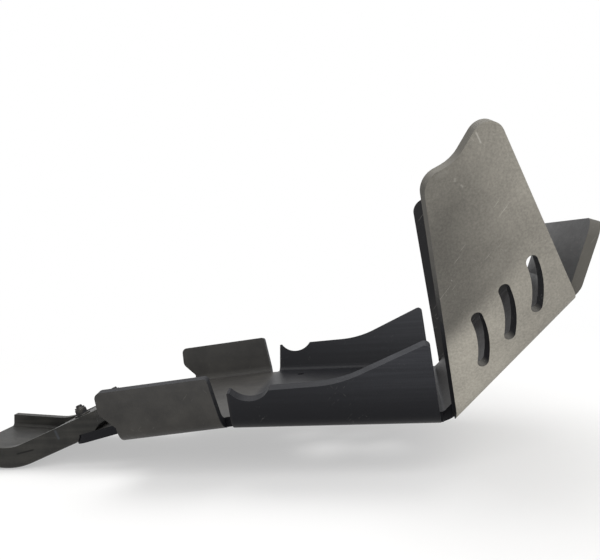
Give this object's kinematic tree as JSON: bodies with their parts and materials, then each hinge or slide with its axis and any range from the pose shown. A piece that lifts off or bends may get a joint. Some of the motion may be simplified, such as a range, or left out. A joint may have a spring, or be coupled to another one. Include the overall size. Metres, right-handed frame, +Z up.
{
  "type": "motorcycle skid plate",
  "caption": "Folded black plastic skid plate for an off-road motorcycle, with side wings, vent slots and a bolted guard for the suspension linkage.",
  "frame": {"origin": "on the inside face of the bottom panel, midway between the four frame bolts and on the middle plane", "axes": "+X forward, +Y to the rider's left, +Z up, as the plate sits on a level motorcycle"},
  "size_m": [0.5638, 0.3782, 0.2564],
  "materials": {
    "plate_plastic": "satin black folded polyethylene sheet, lightly scuffed",
    "guard_plastic": "satin black moulded polyethylene",
    "black_steel": "black coated steel"
  },
  "bodies": {
    "root": {"skid_plate": "plate_plastic", "linkage_guard": "guard_plastic", "guard_bolts": "black_steel", "guard_nuts": "black_steel"}
  },
  "joints": []
}
